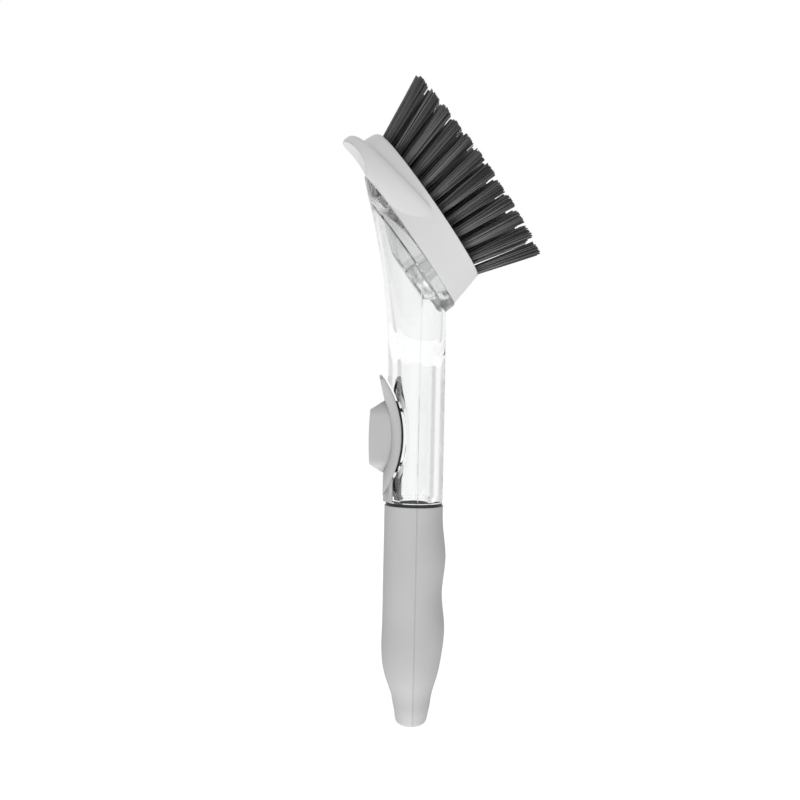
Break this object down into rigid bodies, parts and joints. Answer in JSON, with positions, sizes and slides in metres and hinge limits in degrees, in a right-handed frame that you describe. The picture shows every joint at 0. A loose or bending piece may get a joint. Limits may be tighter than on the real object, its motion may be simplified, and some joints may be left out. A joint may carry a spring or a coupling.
{
  "type": "dish wand",
  "caption": "Soap-dispensing dish wand: soft grip that unscrews from a clear reservoir with a thumb pump button, and an angled pull-off oval brush head.",
  "frame": {"origin": "centre of the hang hole in the handle's tail", "axes": "+Z along the handle to the brush head, +X along the hang hole to the bristle side"},
  "size_m": [0.0854, 0.0508, 0.2793],
  "materials": {
    "grip_rubber": "matte soft-touch",
    "core_plastic": "moulded",
    "seal_rubber": "matte",
    "clear_plastic": "clear polished",
    "grey_plastic": "fine satin",
    "head_plastic": "satin moulded",
    "bristle_nylon": "satin filaments",
    "valve_silicone": "translucent",
    "anchor_metal": "plain"
  },
  "bodies": {
    "handle": {"grip_sleeve": "grip_rubber", "grip_core": "core_plastic"},
    "closure": {"closure_gasket": "seal_rubber"},
    "reservoir": {"reservoir_body": "clear_plastic", "pump_seal": "seal_rubber", "button_bezel": "grey_plastic", "dock_plate": "clear_plastic", "slit_valve": "valve_silicone", "valve_retainer": "core_plastic", "nozzle_seal": "valve_silicone"},
    "button": {"push_button": "grey_plastic"},
    "brush_head": {"head_block": "head_plastic", "tuft_anchors": "anchor_metal", "tuft_row_01": "bristle_nylon", "tuft_row_02": "bristle_nylon", "tuft_row_03": "bristle_nylon", "tuft_row_04": "bristle_nylon", "tuft_row_05": "bristle_nylon", "tuft_row_06": "bristle_nylon", "tuft_row_07": "bristle_nylon", "tuft_row_08": "bristle_nylon", "tuft_row_09": "bristle_nylon", "tuft_row_10": "bristle_nylon", "tuft_row_11": "bristle_nylon", "tuft_row_12": "bristle_nylon"}
  },
  "joints": [
    {"name": "closure_lift", "type": "slide", "parent": "handle", "child": "closure", "axis": [0, 0, 1], "range_m": [0, 0.008]},
    {"name": "reservoir_turn", "type": "hinge", "parent": "closure", "child": "reservoir", "pos_m": [0, 0, 0.09], "axis": [0, 0, 1], "range_deg": [0, 720]},
    {"name": "button_press", "type": "slide", "parent": "reservoir", "child": "button", "axis": [1, 0, 0], "range_m": [0, 0.003], "stiffness_N_per_m": 800},
    {"name": "head_pull", "type": "slide", "parent": "reservoir", "child": "brush_head", "axis": [0.8059, 0, 0.592], "range_m": [0, 0.03]}
  ],
  "couplings": [
    {"joint": "closure_lift", "follows": "reservoir_turn", "m_per_rad": 0.00063662}
  ]
}
